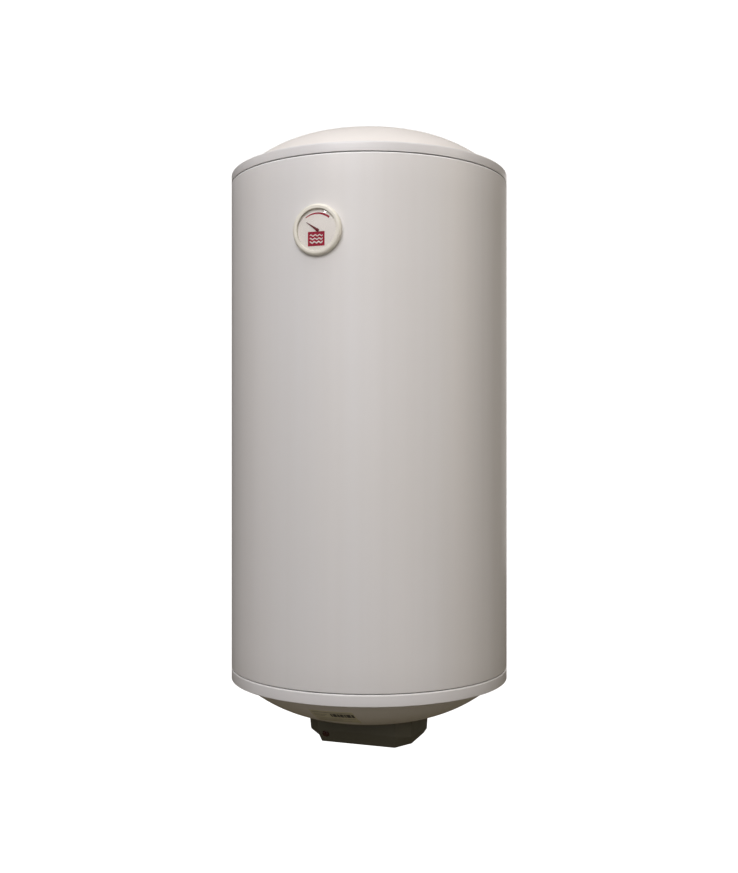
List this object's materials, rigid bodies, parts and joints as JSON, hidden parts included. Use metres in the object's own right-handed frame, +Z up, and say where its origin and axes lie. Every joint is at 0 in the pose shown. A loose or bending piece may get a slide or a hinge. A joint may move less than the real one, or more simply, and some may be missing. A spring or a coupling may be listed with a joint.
{
  "type": "tank water heater",
  "caption": "Wall-hung electric storage water heater: a cylindrical insulated tank with domed ends, a dial thermometer, a control cover below and two pipe stubs.",
  "frame": {"origin": "centre of the upper wall bracket's wall face, on the wall plane", "axes": "+Z up along the tank, +Y into the wall, the thermometer and the pilot lamp face -Y"},
  "size_m": [0.45, 0.4724, 0.992],
  "materials": {
    "casing_paint": "smooth white stove paint, soft sheen",
    "rim_plastic": "smooth white moulded plastic",
    "cover_cream": "smooth warm white moulded plastic",
    "housing_grey": "fine-grained dark grey moulded plastic",
    "gauge_cream": "smooth cream plastic",
    "dial_print": "printed cream dial with a red band",
    "needle_red": "matt red",
    "clear_lens": "clear acrylic",
    "lamp_red": "clear dark red plastic",
    "tank_enamel": "blue-black vitreous enamel on steel",
    "bare_steel": "drawn steel",
    "zinc_steel": "zinc plated steel",
    "copper_sheath": "copper, slightly tarnished",
    "magnesium": "cast magnesium, dull",
    "foam": "rigid polyurethane foam",
    "gasket_rubber": "black rubber",
    "black_plastic": "black moulded plastic",
    "white_plastic": "white moulded plastic",
    "knob_grey": "grey moulded plastic",
    "mark_blue": "blue plastic",
    "mark_red": "red plastic",
    "wire_brown": "brown wire insulation",
    "wire_blue": "blue wire insulation",
    "wire_earth": "green and yellow wire insulation",
    "label_paper": "cream paper sticker"
  },
  "bodies": {
    "heater": {"anode_nut": "zinc_steel", "anode_rod": "magnesium", "bimetal_coil": "copper_sheath", "bottom_cover": "cover_cream", "bottom_rim": "rim_plastic", "cable_gland": "black_plastic", "cold_inlet_nipple": "zinc_steel", "cold_inlet_ring": "mark_blue", "control_cover": "housing_grey", "cover_screw_left": "zinc_steel", "cover_screw_right": "zinc_steel", "earth_screw": "zinc_steel", "earth_wire": "wire_earth", "element_terminal_left": "zinc_steel", "element_terminal_right": "zinc_steel", "flange_bolt_1": "zinc_steel", "flange_bolt_2": "zinc_steel", "flange_bolt_3": "zinc_steel", "flange_bolt_4": "zinc_steel", "flange_bolt_5": "zinc_steel", "flange_bolt_6": "zinc_steel", "flange_collar": "zinc_steel", "flange_gasket": "gasket_rubber", "flange_plate": "zinc_steel", "foam_insulation": "foam", "gland_nut": "black_plastic", "heating_element": "copper_sheath", "hot_outlet_nipple": "zinc_steel", "hot_outlet_ring": "mark_red", "hot_riser_tube": "bare_steel", "inlet_diffuser": "white_plastic", "lamp_live_wire": "wire_brown", "lamp_neutral_wire": "wire_blue", "lens_spacer_ring": "gauge_cream", "live_wire": "wire_brown", "lower_wall_bracket": "zinc_steel", "neutral_wire": "wire_blue", "outer_casing": "casing_paint", "pilot_lamp_body": "white_plastic", "pilot_lamp_lens": "lamp_red", "rating_label": "label_paper", "tank_bottom_head": "tank_enamel", "tank_shell": "tank_enamel", "tank_top_head": "tank_enamel", "terminal_block": "white_plastic", "thermometer_bezel": "gauge_cream", "thermometer_cup": "black_plastic", "thermometer_dial": "dial_print", "thermometer_lens": "clear_lens", "thermometer_stem": "copper_sheath", "thermostat_body": "black_plastic", "thermostat_pocket": "bare_steel", "thermostat_rod": "bare_steel", "top_cover": "cover_cream", "top_rim": "rim_plastic", "upper_wall_bracket": "zinc_steel"},
    "needle": {"thermometer_needle": "needle_red"},
    "knob": {"thermostat_knob": "knob_grey", "thermostat_spindle": "white_plastic"},
    "reset": {"reset_button": "mark_red"}
  },
  "joints": [
    {"name": "needle_turn", "type": "hinge", "parent": "heater", "child": "needle", "pos_m": [0, -0.465, 0.0483], "axis": [0, 1, 0], "range_deg": [0, 104], "stiffness_Nm_per_rad": 0.0002},
    {"name": "knob_turn", "type": "hinge", "parent": "heater", "child": "knob", "pos_m": [0, -0.24, -0.748], "axis": [0, 0, 1], "range_deg": [0, 270]},
    {"name": "reset_press", "type": "slide", "parent": "heater", "child": "reset", "axis": [0, 0, 1], "range_m": [0, 0.002], "stiffness_N_per_m": 300}
  ]
}
